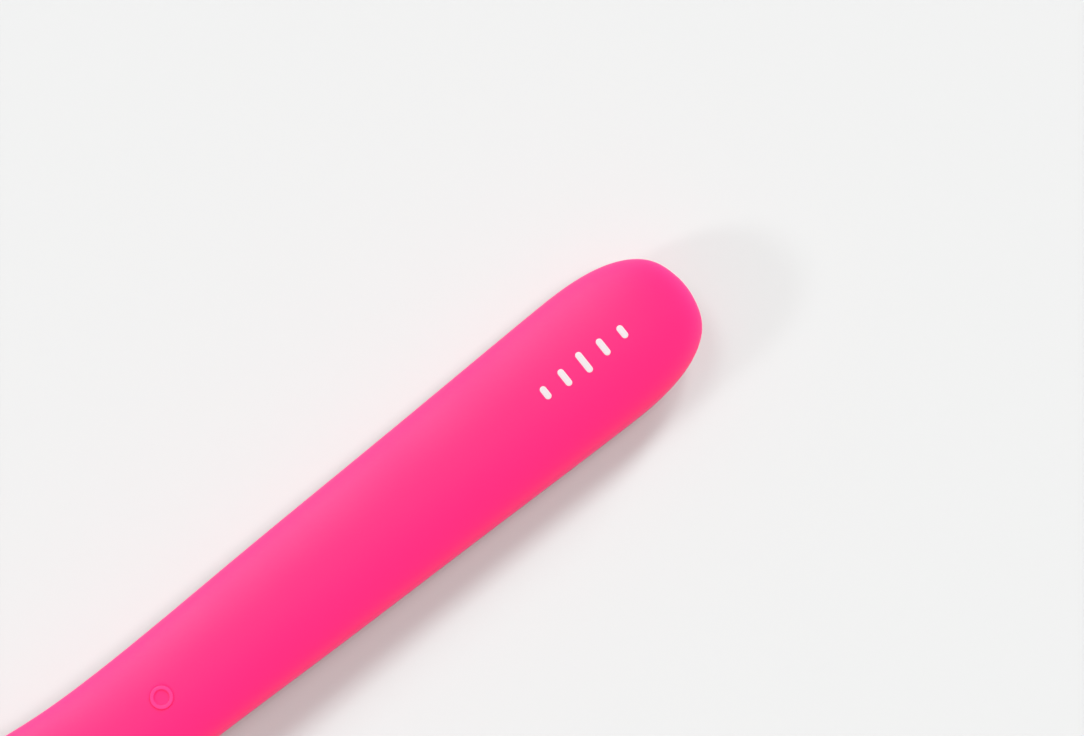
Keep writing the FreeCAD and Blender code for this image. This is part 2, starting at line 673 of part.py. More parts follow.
# ---------------------------------------------------------------- charging socket
def socket_housing():
    """Plastic barrel socket: a nose in the hole of the skin and a square back."""
    nose = rod(SOCKET_BLOCK[1] - 1, SOCKET_FACE, SOCKET_NOSE_RADIUS - 0.05)
    bore = rod(SOCKET_FACE - SOCKET_DEPTH, SOCKET_FACE, SOCKET_RADIUS + SLEEVE_WALL)
    half_y, half_z = [half + 0.1 for half in SPRING_HALF]
    pocket_x = (SOCKET_BLOCK[0] + SOCKET_BACK, SOCKET_FACE - SOCKET_DEPTH + 1)
    pocket = block(pocket_x, (-half_y, half_y), (-half_z, half_z))
    return placed(nose.fuse(socket_block()).cut([bore, pocket]), SOCKET)


def socket_contact():
    """The plated sleeve that lines the charging bore."""
    back = SOCKET_FACE - SOCKET_DEPTH
    sleeve = rod(back, SOCKET_FACE, SOCKET_RADIUS + SLEEVE_WALL)
    return placed(sleeve.cut(rod(back, SOCKET_FACE, SOCKET_RADIUS)), SOCKET)


def socket_tip_spring():
    """The bent strip behind the bore that meets the plug's tip."""
    half_y, half_z = SPRING_HALF
    back = SOCKET_BLOCK[0] + SOCKET_BACK
    front = back + SPRING_LENGTH
    across = (-half_y, half_y)
    foot = block((back, back + SPRING_STRIP), across, (-half_z, half_z))
    arm = block((back, front), across, (-half_z, -half_z + SPRING_STRIP))
    tip = block((front - SPRING_STRIP, front), across, (-half_z, half_z - 0.4))
    return placed(foot.fuse([arm, tip]).removeSplitter(), SOCKET)


def charge_lead(side):
    """A lead from the socket, round the front boss and over the battery to the main board."""
    y = side * CHARGE_LEAD_Y
    height = CELL_SIZE[2] / 2 + LEAD_RADIUS + 0.5
    points = [SOCKET.multVec(Vector(SOCKET_BLOCK[0] - out, side * 1.6, 1.2)) for out in (0, 1.0)]
    points.append(spine_point(CASE_SCREWS[0][0] - 0.9, y, height - 1.2))
    points.append(spine_point(CELL_STATION - CELL_SIZE[0] / 2, y, height))
    points.append(spine_point(CELL_STATION + CELL_SIZE[0] / 2, y, height))
    board = BOARD_TOP + LEAD_RADIUS + 0.02
    points.append(deck_point(BOARD_STATIONS[0] + 1.5, y, board))
    points.append(deck_point(BOARD_STATIONS[0] + 4.0, y, board))
    return lead(points, 1.0)


# ---------------------------------------------------------------- circuit board
def main_board():
    near, far = BOARD_STATIONS
    corners = [(board_x(far), BOARD_HALF_WIDTH, 1.5), (board_x(near), BOARD_HALF_WIDTH, 1.5)]
    plate = mirrored_face(corners).extrude(Vector(0, 0, BOARD_THICKNESS))
    plate.translate(Vector(0, 0, BOARD_BOTTOM))
    return placed(plate, DECK)


def on_board(parts):
    """Boxes on the board's upper face, from (station, y, size) entries."""
    boxes = [box_on(board_x(station), y, BOARD_TOP, size) for station, y, size in parts]
    return placed(Part.makeCompound(boxes), DECK)


def chip(station, y, size, pins, pitch):
    """A moulded chip with gull-wing pins along both long sides."""
    length, width, height = size
    x = board_x(station)
    body = box_on(x, y, BOARD_TOP + 0.15, (length, width, height - 0.15))
    rims = [e for e in body.Edges if e.BoundBox.ZMin > BOARD_TOP + height - 0.01]
    solids = [body.makeChamfer(0.15, rims)]
    for k in range(pins):
        pin_x = x + (k - (pins - 1) / 2) * pitch
        for side in (-1, 1):
            foot_y = y + side * (width / 2 + 0.45)
            leg_y = y + side * (width / 2 + 0.1)
            foot = box_on(pin_x, foot_y, BOARD_TOP, (0.4, 0.7, 0.18))
            solids.append(foot.fuse(box_on(pin_x, leg_y, BOARD_TOP, (0.4, 0.2, height * 0.55))))
    return placed(solids[0].fuse(solids[1:]), DECK)


def switch_base():
    """Body of the dome switch under the button, with its four solder legs."""
    side = SWITCH_SIDE
    base = box_on(0, 0, BOARD_TOP, (side, side, SWITCH_HEIGHT))
    base = base.makeFillet(0.5, [e for e in base.Edges if e.BoundBox.ZLength > SWITCH_HEIGHT - 0.01])
    base = base.cut(post(0, 0, BOARD_TOP + SWITCH_FLOOR, BOARD_TOP + 3, PLUNGER_RADIUS + 0.06))
    legs = []
    for x in (-1.5, 1.5):
        for y in (-1, 1):
            legs.append(box_on(x, y * (side / 2 + 0.3), BOARD_TOP, (0.6, 0.7, 0.25)))
    return placed(base.fuse(legs), DECK)


def switch_plunger():
    low = BOARD_TOP + SWITCH_FLOOR + BUTTON_TRAVEL + 0.1
    return placed(post(0, 0, low, STEM_END - 0.05, PLUNGER_RADIUS), DECK)


def transformer_window():
    """Length of each of the core's two windows and its middle's distance from the core's."""
    length = TRANSFORMER_SIZE[0]
    return length / 2 - TRANSFORMER_WINDOW, length / 4 + 0.2


def transformer_core():
    """Ferrite core under the board, in one closed frame round the winding's windows."""
    x = board_x(TRANSFORMER_STATION)
    length, width, height = TRANSFORMER_SIZE
    window, middle = transformer_window()
    frame = box_under(x, 0, BOARD_BOTTOM - 0.1, TRANSFORMER_SIZE)
    for side in (-1, 1):
        hole = box_under(x + side * middle, 0, BOARD_BOTTOM - 0.9, (window, width + 1, height - 1.6))
        frame = frame.cut(hole)
    return placed(frame, DECK)


def transformer_winding():
    """Taped coil round the core's middle limb."""
    x = board_x(TRANSFORMER_STATION)
    width, height = TRANSFORMER_SIZE[1:]
    window, middle = transformer_window()
    limb = 2 * middle - window
    coil = box_under(x, 0, BOARD_BOTTOM - 0.95, (limb + COIL_BUILD, width + 1.4, height - 1.7))
    return placed(coil.cut(box_under(x, 0, BOARD_BOTTOM, (limb, width, height + 2))), DECK)


def power_inductor():
    core = box_under(board_x(INDUCTOR_STATION), 0, BOARD_BOTTOM, INDUCTOR_SIZE)
    corners = [e for e in core.Edges if e.BoundBox.ZLength > INDUCTOR_SIZE[2] - 0.1]
    return placed(core.makeChamfer(1.0, corners), DECK)


def small_passives():
    """Rows of chip resistors and small ceramic capacitors."""
    places = []
    for y, stations in PASSIVE_ROWS:
        places += [(station, side * y) for station in stations for side in (-1, 1)]
    return on_board([(station, y, PASSIVE_SIZE) for station, y in places])


# ---------------------------------------------------------------- assembly
def assembly():
    """Every node's name and shape."""
    seam = under_seam()
    wall = chassis_wall()
    blade = steel_blade()
    parts = {
        "silicone_skin": silicone_skin(),
        "power_button": power_button(),
        "head_collar": head_collar(),
        "blade_seal": blade_seal(blade),
        "upper_chassis": upper_chassis(wall, seam),
        "lower_chassis": lower_chassis(wall, seam),
        "case_screws": case_screws(),
        "blade": blade,
        "piezo_plates": piezo_plates(),
        "piezo_electrodes": piezo_electrodes(),
        "anchor_grommet": anchor_grommet(),
        "anchor_screw": anchor_screw(),
        "piezo_lead_upper": piezo_lead(1),
        "piezo_lead_lower": piezo_lead(-1),
        "battery_cell": battery_cell(),
        "battery_protection_board": battery_protection_board(),
        "battery_pad": battery_pad(),
        "battery_connector": battery_connector(),
        "battery_lead_red": battery_lead(1),
        "battery_lead_black": battery_lead(-1),
        "socket_housing": socket_housing(),
        "socket_contact": socket_contact(),
        "socket_tip_spring": socket_tip_spring(),
        "charge_lead_red": charge_lead(1),
        "charge_lead_black": charge_lead(-1),
        "main_board": main_board(),
        "small_passives": small_passives(),
        "switch_base": switch_base(),
        "switch_plunger": switch_plunger(),
        "transformer_core": transformer_core(),
        "transformer_winding": transformer_winding(),
        "power_inductor": power_inductor(),
    }
    for name, x in ISOLATORS.items():
        parts[name] = isolator_bar(x).cut(blade)
    for name, layout in CHIPS.items():
        parts[name] = chip(*layout)
    for name, boxes in BOARD_PARTS.items():
        parts[name] = on_board(boxes)
    return parts


os.makedirs("parts", exist_ok=True)
for name, shape in assembly().items():
    solids = shape.Solids
    shape = solids[0] if len(solids) == 1 else Part.makeCompound(solids)
    shape.exportStep("parts/" + name + ".step")
    box = shape.BoundBox
    print(f"{name:26s} {len(solids):2d} valid {shape.isValid()} {shape.Volume:9.2f}",
          f"x {box.XMin:7.2f} {box.XMax:7.2f} y {box.YMin:6.2f} {box.YMax:6.2f}",
          f"z {box.ZMin:6.2f} {box.ZMax:6.2f}")
bore = SOCKET.multVec(Vector(SOCKET_FACE - SOCKET_DEPTH / 2, 0, 0))
print(f"middle of the charging bore: x {bore.x:.3f} z {bore.z:.3f}")
print(f"button slope: {button_slope():.4f} degrees")
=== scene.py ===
import json
import math

import bmesh
import bpy
from mathutils import Matrix, Vector


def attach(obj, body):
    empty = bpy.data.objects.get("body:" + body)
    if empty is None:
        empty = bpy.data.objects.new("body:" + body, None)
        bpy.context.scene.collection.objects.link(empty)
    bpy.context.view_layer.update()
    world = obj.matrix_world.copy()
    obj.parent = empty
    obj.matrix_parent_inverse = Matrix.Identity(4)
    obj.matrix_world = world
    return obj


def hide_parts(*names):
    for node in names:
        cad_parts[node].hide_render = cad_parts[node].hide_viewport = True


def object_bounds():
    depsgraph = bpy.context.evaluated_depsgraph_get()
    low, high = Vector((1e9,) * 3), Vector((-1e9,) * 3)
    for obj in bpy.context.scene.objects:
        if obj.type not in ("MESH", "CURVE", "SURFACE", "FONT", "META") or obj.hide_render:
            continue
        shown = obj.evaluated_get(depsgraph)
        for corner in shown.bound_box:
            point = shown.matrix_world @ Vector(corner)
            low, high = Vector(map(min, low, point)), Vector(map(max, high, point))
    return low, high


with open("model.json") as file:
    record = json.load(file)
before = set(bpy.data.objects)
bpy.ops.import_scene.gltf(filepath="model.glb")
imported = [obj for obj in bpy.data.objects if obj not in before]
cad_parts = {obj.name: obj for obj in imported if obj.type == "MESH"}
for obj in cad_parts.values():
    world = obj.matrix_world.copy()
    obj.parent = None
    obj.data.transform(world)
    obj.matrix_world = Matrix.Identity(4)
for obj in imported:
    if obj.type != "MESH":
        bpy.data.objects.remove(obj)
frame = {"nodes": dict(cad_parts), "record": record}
cad_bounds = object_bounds()

MM = 0.001
IMAGE_WIDTH = 1084

# ---------------------------------------------------------------- the body's shape
# Millimetres. A station is a distance from the handle's rounded end towards the blade.
# The CAD has the same main shape. Here the tip is a little finer, the gap round the button is
# nearly closed, the button's ring is slightly lower and narrower, and small edges are rounded.
TIP_X = 99.0
BODY_LENGTH = 175.0
HALF_WIDTH = ((0, 14.3), (25, 14.1), (60, 13.35), (100, 12.5), (132, 11.85), (146, 12.4),
              (158, 14.0), (168, 15.6), (175, 16.0))
HALF_HEIGHT = ((0, 8.8), (25, 8.7), (60, 8.3), (100, 7.6), (132, 7.05), (150, 6.6),
               (165, 5.6), (175, 4.8))
SPINE_HEIGHT = ((0, 8.535), (25, 8.835), (60, 10.2), (95, 12.6), (125, 14.4), (145, 14.6),
                (160, 13.2), (175, 10.6))
ROUND_LENGTH = 25.0
ROUND_POWER = 2.6
NOSE_LENGTH = 20.0
NOSE_POWER = 2.3
TIP_FINING = 0.35  # share of the width taken off at the very end
TIP_FINING_FADE = 0.6
HANDLE_SQUARENESS = 2.3
HEAD_SQUARENESS = 3.2
HEAD_START = 130.0
SKIN = 1.4
BUTTON_STATION = 124.9
RING_INNER_RADIUS = 1.45
RING_HEIGHT = 0.33
HOLE_RADIUS = 2.28
FLANGE_RADIUS = 3.3
FLANGE_TOP = -1.75
FLANGE_BOTTOM = -2.2
STEM_RADIUS = 1.3
STEM_END = -4.2
SOCKET_STATION = 1.0
SOCKET_TILT = 22.0
SOCKET_HOLE_RADIUS = 2.6
SOCKET_CUT = (-4.0, 5.0)  # reach of the hole's cutter, along the socket's axis
CHASSIS_INSET = 1.5
CAVITY_INSET = 2.8
COLLAR_START = 168.2
COLLAR_WALL = 3.0
COLLAR_FLANGE = 1.0
COLLAR_FLANGE_INSET = 0.3
SEAL_HALF = (13.9, 1.5)
SEAL_CORNER = 1.2
SEAL_X = (-0.8, 3.2)
BLADE_THICKNESS = 0.8
BLADE_ROOT_ANGLE = 8.0
BLADE_EDGE_ANGLE = 42.0
BLADE_HALF = 12.9
BLADE_CORNER = 5.0
BLADE_ROOT_HALF = 10.0
BLADE_ROOT_START = 5.6
BLADE_TONGUE_HALF = 5.0
BLADE_TONGUE_START = 25.6
BLADE_ROOT_END = 31.0
BEVEL_LENGTH = 2.0
EDGE_THICKNESS = 0.25
ANCHOR_X = 28.6
ANCHOR_HOLE_RADIUS = 1.6
ANCHOR_CUT = 2.0  # reach of the hole's cutter, to each side of the blade


def smooth_curve(points):
    """A natural cubic spline through points. The function returned gives (value, slope)."""
    x = [p[0] for p in points]
    y = [p[1] for p in points]
    last = len(x) - 1
    h = [x[i + 1] - x[i] for i in range(last)]
    rise = [(y[i + 1] - y[i]) / h[i] for i in range(last)]
    diagonal = [1.0] * (last + 1)
    right = [0.0] * (last + 1)
    for i in range(1, last):
        diagonal[i] = 2 * (h[i - 1] + h[i])
        right[i] = 6 * (rise[i] - rise[i - 1])
    for i in range(2, last):
        factor = h[i - 1] / diagonal[i - 1]
        diagonal[i] -= factor * h[i - 1]
        right[i] -= factor * right[i - 1]
    bend = [0.0] * (last + 1)
    for i in range(last - 1, 0, -1):
        bend[i] = (right[i] - h[i] * bend[i + 1]) / diagonal[i]

    def curve(at):
        i = 0
        while i < last - 1 and at > x[i + 1]:
            i += 1
        a = (x[i + 1] - at) / h[i]
        b = 1 - a
        bow = (a**3 - a) * bend[i] + (b**3 - b) * bend[i + 1]
        lean = (1 - 3 * a * a) * bend[i] + (3 * b * b - 1) * bend[i + 1]
        return a * y[i] + b * y[i + 1] + bow * h[i] ** 2 / 6, rise[i] + lean * h[i] / 6

    return curve


half_width_curve = smooth_curve(HALF_WIDTH)
half_height_curve = smooth_curve(HALF_HEIGHT)
spine_curve = smooth_curve(SPINE_HEIGHT)


def rounding(station, inset, length, power):
    if station >= length:
        return 1.0
    return max(0.0, 1 - ((length - station) / (length - inset)) ** power) ** (1 / power)


def squareness(station):
    t = min(max((station - HEAD_START) / (BODY_LENGTH - HEAD_START), 0.0), 1.0)
    return HANDLE_SQUARENESS + (HEAD_SQUARENESS - HANDLE_SQUARENESS) * t * t * (3 - 2 * t)


def half_sizes(station, inset):
    """Half width and half height. The tip is drawn out a little finer than the plain superellipse."""
    fining = 1 - TIP_FINING * math.exp((inset - station) / TIP_FINING_FADE)
    width = (half_width_curve(station)[0] - inset) * fining
    height = half_height_curve(station)[0] - inset
    return (width * rounding(station, inset, ROUND_LENGTH, ROUND_POWER),
            height * rounding(station, inset, NOSE_LENGTH, NOSE_POWER))


def spine_frame(station):
    """Spine point and the unit vector up from it, square to the spine."""
    height, slope = spine_curve(station)
    return Vector((TIP_X - station, 0, height)), Vector((slope, 0, 1)).normalized()


def section_point(station, inset, angle):
    """A point of the superellipse around the spine."""
    width, height = half_sizes(station, inset)
    power = 2 / squareness(station)
    centre, up = spine_frame(station)
    y = width * math.copysign(abs(math.cos(angle)) ** power, math.cos(angle))
    z = height * math.copysign(abs(math.sin(angle)) ** power, math.sin(angle))
    return centre + Vector((0, y, 0)) + up * z


def top_height(x, y, inset=0.0):
    """Height of the body's upper surface over a point of the plan."""
    station = TIP_X - x
    for _ in range(6):
        width, height = half_sizes(station, inset)
        power = squareness(station)
        rise = height * max(0.0, 1 - abs(y / width) ** power) ** (1 / power)
        centre, up = spine_frame(station)
        station = TIP_X - x + up.x * rise
    return (centre + up * rise).z


# ---------------------------------------------------------------- frames of the button and blade
def tilted_frame(origin, slope):
    """A frame at origin whose +X falls with a slope towards the handle's end."""
    return Matrix.Translation(origin) @ Matrix.Rotation(math.atan(slope), 4, "Y")


button_slope = spine_curve(BUTTON_STATION)[1] + half_height_curve(BUTTON_STATION)[1]
button_height = spine_curve(BUTTON_STATION)[0] + half_sizes(BUTTON_STATION, 0)[1]
DECK = tilted_frame(Vector((TIP_X - BUTTON_STATION, 0, button_height)), button_slope)
MOUTH, MOUTH_UP = spine_frame(BODY_LENGTH)
MOUTH_OUT = Vector((-MOUTH_UP.z, 0, MOUTH_UP.x))
ROOT = tilted_frame(MOUTH, -math.tan(math.radians(BLADE_ROOT_ANGLE)))
socket_mouth = spine_frame(SOCKET_STATION)[0]
socket_mouth.z -= half_sizes(SOCKET_STATION, 0)[1]
SOCKET = tilted_frame(socket_mouth, math.tan(math.radians(SOCKET_TILT)))


# ---------------------------------------------------------------- mesh helpers
def mesh_piece(name, vertices, faces, body="body"):
    """A smooth-shaded object from points in millimetres, riding on a body."""
    mesh = bpy.data.meshes.new(name)
    mesh.from_pydata([Vector(v) * MM for v in vertices], [], faces)
    work = bmesh.new()
    work.from_mesh(mesh)
    bmesh.ops.remove_doubles(work, verts=work.verts, dist=1e-7)
    bmesh.ops.dissolve_degenerate(work, edges=work.edges, dist=1e-8)
    bmesh.ops.recalc_face_normals(work, faces=work.faces)
    work.to_mesh(mesh)
    work.free()
    mesh.polygons.foreach_set("use_smooth", [True] * len(mesh.polygons))
    mesh.update()
    piece = bpy.data.objects.new(name, mesh)
    bpy.context.scene.collection.objects.link(piece)
    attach(piece, body)
    return piece


def loops_mesh(loops, closed=False, capped=False):
    """Vertices and quads of a surface through loops of equally many points."""
    count = len(loops[0])
    vertices = [p for loop in loops for p in loop]
    faces = []
    pairs = len(loops) if closed else len(loops) - 1
    for i in range(pairs):
        a, b = i * count, ((i + 1) % len(loops)) * count
        for k in range(count):
            n = (k + 1) % count
            faces.append((a + k, a + n, b + n, b + k))
    if capped:
        faces.append(tuple(reversed(range(count))))
        faces.append(tuple(range(len(vertices) - count, len(vertices))))
    return vertices, faces


def sharpen(piece, degrees):
    """Keeps creases sharper than an angle while the rest stays smooth."""
    piece.data.set_sharp_from_angle(angle=math.radians(degrees))


def revolved(profile, transform, count=96):
    """Loops from a (radius, height) profile turned about the frame's Z."""
    loops = []
    for radius, height in profile:
        loop = []
        for k in range(count):
            angle = 2 * math.pi * k / count
            loop.append(transform @ Vector((radius * math.cos(angle), radius * math.sin(angle), height)))
        loops.append(loop)
    return loops


def rounded_bar(half_y, half_z, radius, count=128):
    """(y, z) points round a rectangle with rounded corners, evenly spread by length."""
    straight_y, straight_z = 2 * (half_y - radius), 2 * (half_z - radius)
    arc = math.pi * radius / 2
    perimeter = 2 * (straight_y + straight_z) + 4 * arc
    corner_y, corner_z = half_y - radius, half_z - radius
    points = []
    for k in range(count):
        at = (perimeter * k / count + straight_z / 2) % perimeter
        for length, turn in ((straight_z, 0), (straight_y, 90), (straight_z, 180), (straight_y, 270)):
            along = math.radians(turn + 90)
            out = math.radians(turn)
            reach = half_y if turn % 180 == 0 else half_z
            if at <= length:
                offset = at - length / 2
                points.append((reach * math.cos(out) + offset * math.cos(along),
                               reach * math.sin(out) + offset * math.sin(along)))
                break
            at -= length
            if at <= arc:
                angle = out + at / radius
                sign_y = 1 if turn in (0, 270) else -1
                sign_z = 1 if turn in (0, 90) else -1
                points.append((sign_y * corner_y + radius * math.cos(angle),
                               sign_z * corner_z + radius * math.sin(angle)))
                break
            at -= arc
    return points


def cut(piece, cutter):
    """Takes one closed mesh out of another and removes the cutter."""
    modifier = piece.modifiers.new("hole", "BOOLEAN")
    modifier.operation = "DIFFERENCE"
    modifier.solver = "EXACT"
    modifier.object = cutter
    graph = bpy.context.evaluated_depsgraph_get()
    mesh = bpy.data.meshes.new_from_object(piece.evaluated_get(graph))
    piece.modifiers.clear()
    piece.data = mesh
    bpy.data.objects.remove(cutter)


# ---------------------------------------------------------------- silicone skin
ROUND_COUNT = 128
PATCH_COLUMNS = 8  # the button's patch reaches this many columns to each side of the top line
PATCH_REACH = 5.0
HOLE_ROUND = 0.09
MOUTH_ROUND = 0.45
TOP_COLUMN = ROUND_COUNT // 4


def skin_stations():
    dome = [ROUND_LENGTH * (1 - math.cos(math.radians(a))) for a in range(0, 90, 3)]
    along = [ROUND_LENGTH + k for k in range(int(BODY_LENGTH - ROUND_LENGTH))]
    return dome + along


def skin_loop(station, inset):
    return [section_point(station, inset, 2 * math.pi * k / ROUND_COUNT) for k in range(ROUND_COUNT)]


def patch_rings(boundary, inset, lip):
    """Loops from a grid rectangle round the button in to its hole."""
    centre = DECK.translation
    flat = [Vector((p.x - centre.x, p.y)) for p in boundary]
    radius = HOLE_RADIUS + (HOLE_ROUND if lip else 0.0)
    rings = []
    steps = 6
    for step in range(1, steps + 1):
        t = step / steps
        ring = []
        for p in flat:
            spot = p * (1 - t) + p.normalized() * radius * t
            x, y = centre.x + spot.x, spot.y
            ring.append(Vector((x, y, top_height(x, y, inset))))
        rings.append(ring)
    if lip:
        for a in (30, 60, 90):
            angle = math.radians(a)
            ring = []
            for p in flat:
                spot = p.normalized() * (radius - HOLE_ROUND * math.sin(angle))
                edge = p.normalized() * radius
                x, y = centre.x + spot.x, spot.y
                height = top_height(centre.x + edge.x, edge.y, inset)
                ring.append(Vector((x, y, height - HOLE_ROUND * (1 - math.cos(angle)))))
            rings.append(ring)
    return rings


def shell_layer(stations, inset, vertices, faces, lip):
    """One wall of the skin, with the button's hole left in it. Returns the hole's edge loop."""
    start = len(vertices)
    rows = [skin_loop(s, inset) for s in stations]
    vertices += [p for row in rows for p in row]
    inside = [i for i, s in enumerate(stations) if abs(s - BUTTON_STATION) < PATCH_REACH]
    low, high = inside[0], inside[-1]
    left, right = TOP_COLUMN - PATCH_COLUMNS, TOP_COLUMN + PATCH_COLUMNS
    for i in range(len(rows) - 1):
        for k in range(ROUND_COUNT):
            if low <= i < high and left <= k < right:
                continue
            n = (k + 1) % ROUND_COUNT
            a, b = start + i * ROUND_COUNT, start + (i + 1) * ROUND_COUNT
            faces.append((a + k, a + n, b + n, b + k))
    path = [(low, k) for k in range(left, right)] + [(i, right) for i in range(low, high)]
    path += [(high, k) for k in range(right, left, -1)] + [(i, left) for i in range(high, low, -1)]
    edge = [start + i * ROUND_COUNT + k for i, k in path]
    for ring in patch_rings([vertices[v] for v in edge], inset, lip):
        first = len(vertices)
        vertices += ring
        new_edge = list(range(first, first + len(ring)))
        join_loops(edge, new_edge, faces)
        edge = new_edge
    return edge


def join_loops(first, second, faces):
    for k in range(len(first)):
        n = (k + 1) % len(first)
        faces.append((first[k], first[n], second[n], second[k]))


def build_skin():
    """Closed shell: two walls, the rolled rim at the mouth, and the button's lipped hole."""
    vertices, faces = [], []
    outer_stations = skin_stations() + [BODY_LENGTH - MOUTH_ROUND]
    outer_edge = shell_layer(outer_stations, 0.0, vertices, faces, True)
    outer_count = len(outer_stations) * ROUND_COUNT
    outer_end = list(range(outer_count - ROUND_COUNT, outer_count))
    for a in (22.5, 45, 67.5, 90):
        angle = math.radians(a)
        station = BODY_LENGTH - MOUTH_ROUND * (1 - math.sin(angle))
        first = len(vertices)
        vertices += skin_loop(station, MOUTH_ROUND * (1 - math.cos(angle)))
        rim = list(range(first, first + ROUND_COUNT))
        join_loops(outer_end, rim, faces)
        outer_end = rim
    dome = [s for s in skin_stations() if s < ROUND_LENGTH]
    inner_stations = [SKIN + s * (ROUND_LENGTH - SKIN) / ROUND_LENGTH for s in dome]
    inner_stations += [s for s in skin_stations() if s >= ROUND_LENGTH] + [BODY_LENGTH]
    inner_start = len(vertices)
    inner_edge = shell_layer(inner_stations, SKIN, vertices, faces, False)
    inner_end = inner_start + (len(inner_stations) - 1) * ROUND_COUNT
    join_loops(outer_end, list(range(inner_end, inner_end + ROUND_COUNT)), faces)
    join_loops(outer_edge, inner_edge, faces)
    piece = mesh_piece("skin_shell", vertices, faces)
    turn = Matrix.Rotation(math.radians(90), 4, "Y")
    profile = [(SOCKET_HOLE_RADIUS, x) for x in SOCKET_CUT]
    cutter = mesh_piece("socket_cutter", *loops_mesh(revolved(profile, SOCKET @ turn), capped=True))
    cut(piece, cutter)
    sharpen(piece, 55)
    return piece


# ---------------------------------------------------------------- button
PAD_RADIUS = 2.27
PAD_ROUND = 0.08
PAD_CENTRE = 0.02  # radius of the small flat that closes the pad and its stem
PAD_INNER = 0.7
RING_SLOPE = 0.17  # width of the ring's rounded shoulders
RING_OUTER_RADIUS = 2.23
RING_FOOT = -0.06


def build_button():
    """Push pad over a hidden flange and stem."""
    profile = [(PAD_CENTRE, STEM_END), (STEM_RADIUS, STEM_END), (STEM_RADIUS, FLANGE_BOTTOM)]
    profile += [(FLANGE_RADIUS, FLANGE_BOTTOM), (FLANGE_RADIUS, FLANGE_TOP), (PAD_RADIUS, FLANGE_TOP)]
    for a in range(0, 91, 15):
        angle = math.radians(a)
        profile.append((PAD_RADIUS - PAD_ROUND * (1 - math.cos(angle)), -PAD_ROUND * (1 - math.sin(angle))))
    profile += [(RING_INNER_RADIUS, 0.0), (PAD_INNER, 0.0), (PAD_CENTRE, 0.0)]
    piece = mesh_piece("button_pad", *loops_mesh(revolved(profile, DECK), capped=True), "button")
    sharpen(piece, 60)
    return piece


def build_button_ring():
    """Soft raised ring on the pad, its foot a little way into it."""
    profile = [(RING_OUTER_RADIUS, RING_FOOT)]
    for a in range(0, 91, 15):
        angle = math.radians(a)
        profile.append((RING_OUTER_RADIUS - RING_SLOPE * (1 - math.cos(angle)),
                        RING_HEIGHT - RING_SLOPE * (1 - math.sin(angle))))
    for a in range(90, -1, -15):
        angle = math.radians(a)
        profile.append((RING_INNER_RADIUS + RING_SLOPE * (1 - math.cos(angle)),
                        RING_HEIGHT - RING_SLOPE * (1 - math.sin(angle))))
    profile.append((RING_INNER_RADIUS, RING_FOOT))
    piece = mesh_piece("button_ring", *loops_mesh(revolved(profile, DECK), closed=True), "button")
    sharpen(piece, 60)
    return piece


# ---------------------------------------------------------------- printed mark
BAR_HEIGHTS = (2.8, 3.7, 4.6, 3.7, 2.8)
BAR_WIDTH = 1.3
BAR_PITCH = 4.6
PRINT_STATION = 24.3
INK = 0.03
INK_ROOT = -0.06
INK_STEPS = ((1.0, INK_ROOT), (1.0, INK * 0.5), (0.96, INK), (0.6, INK), (0.05, INK))  # (size, lift)


def surface_point(x, y, lift):
    """A point lifted off the body's upper surface along its normal."""
    step = 0.05
    here = Vector((x, y, top_height(x, y)))
    along = Vector((2 * step, 0, top_height(x + step, y) - top_height(x - step, y)))
    across = Vector((0, 2 * step, top_height(x, y + step) - top_height(x, y - step)))
    return here + along.cross(across).normalized() * lift


def capsule(radius, half, steps=12, runs=10):
    """(x, y) points round a capsule whose straight sides run along y."""
    points = []
    for side in (1, -1):
        for k in range(runs):
            points.append((side * radius, side * half * (2 * k / runs - 1)))
        for k in range(steps):
            angle = math.pi * k / steps
            points.append((side * radius * math.cos(angle), side * (half + radius * math.sin(angle))))
    return points


def build_print():
    """Five thin printed bars across the handle that follow the surface under them."""
    vertices, faces = [], []
    for index, height in enumerate(BAR_HEIGHTS):
        x = TIP_X - PRINT_STATION + (index - 2) * BAR_PITCH
        half = (height - BAR_WIDTH) / 2
        loops = []
        for size, lift in INK_STEPS:
            outline = capsule(BAR_WIDTH / 2 * size, half)
            loops.append([surface_point(x + px, py, lift) for px, py in outline])
        bar_vertices, bar_faces = loops_mesh(loops, capped=True)
        offset = len(vertices)
        vertices += bar_vertices
        faces += [tuple(i + offset for i in face) for face in bar_faces]
    return mesh_piece("printed_bars", vertices, faces)


# ---------------------------------------------------------------- collar and seal
COLLAR_EDGE = 0.35
COLLAR_LIP = 0.2
SEAL_EDGE = 0.3


def mouth_point(y, z, out):
    """A point of the plane out in front of the mouth, on the line along the blade through (y, z)."""
    base = ROOT @ Vector((0, y, z))
    along = ROOT.to_3x3() @ Vector((1, 0, 0))
    distance = (MOUTH + MOUTH_OUT * out - base).dot(MOUTH_OUT) / along.dot(MOUTH_OUT)
    return base + along * distance


def slot_loop(half, corner, out):
    return [mouth_point(y, z, out) for y, z in rounded_bar(*half, corner)]


def blended(first, second, t):
    return [a.lerp(b, t) for a, b in zip(first, second)]


